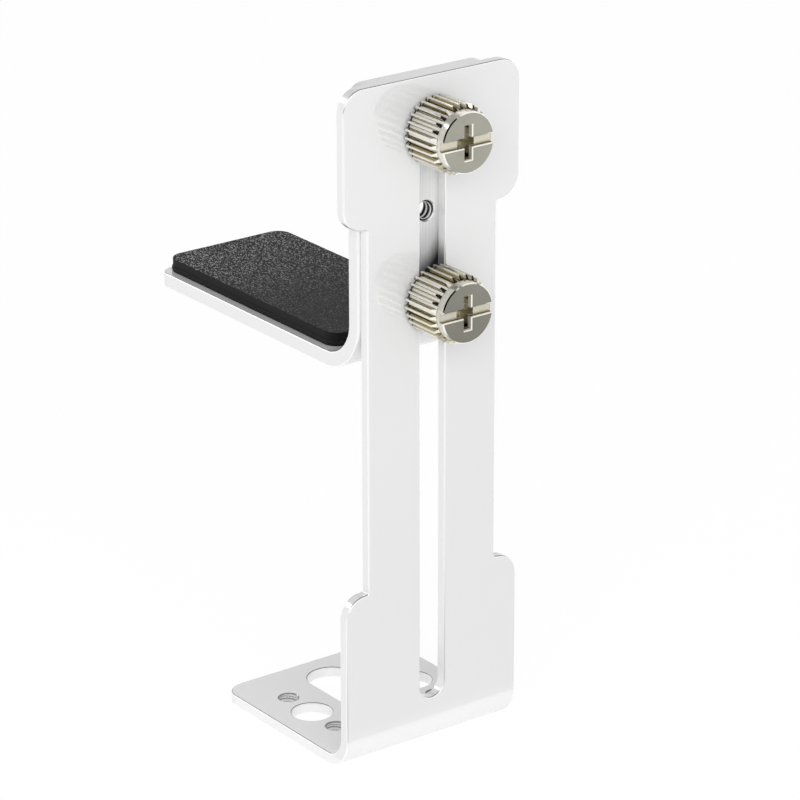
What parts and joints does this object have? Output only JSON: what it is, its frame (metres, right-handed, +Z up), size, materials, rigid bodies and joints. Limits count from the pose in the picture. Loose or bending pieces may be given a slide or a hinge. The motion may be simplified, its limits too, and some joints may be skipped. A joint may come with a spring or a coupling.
{
  "type": "graphics card support bracket",
  "caption": "Small folded-sheet stand with a padded shelf that slides up and down behind a slotted upright and is clamped by knurled thumbscrews, to hold up the end of a graphics card.",
  "frame": {"origin": "middle of the whole part's outline in plan, on the surface that the foot stands on", "axes": "+X across the upright, +Y from the thumbscrews back along the shelf, +Z up the upright"},
  "size_m": [0.0268, 0.0532, 0.09],
  "materials": {
    "white_coat": "smooth glossy white powder coat over folded steel sheet",
    "pad_rubber": "finely grained matte black sheet",
    "foam_tape": "dense black foam tape",
    "nickel": "bright nickel plate on turned steel, straight knurl"
  },
  "bodies": {
    "stand": {"stand_bracket": "white_coat"},
    "arm": {"arm_bracket": "white_coat", "pad": "pad_rubber", "pad_foam_tape": "foam_tape"},
    "upper_screw": {"upper_thumbscrew": "nickel"},
    "lower_screw": {"lower_thumbscrew": "nickel"}
  },
  "joints": [
    {"name": "arm_slide", "type": "slide", "parent": "stand", "child": "arm", "axis": [0, 0, 1], "range_m": [-0.0505, 0.001]},
    {"name": "upper_screw_turn", "type": "hinge", "parent": "arm", "child": "upper_screw", "pos_m": [0, -0.01943, 0.0831], "axis": [0, -1, 0], "range_deg": [0, 450]},
    {"name": "lower_screw_turn", "type": "hinge", "parent": "arm", "child": "lower_screw", "pos_m": [0, -0.01943, 0.0614], "axis": [0, -1, 0], "range_deg": [0, 450]}
  ]
}
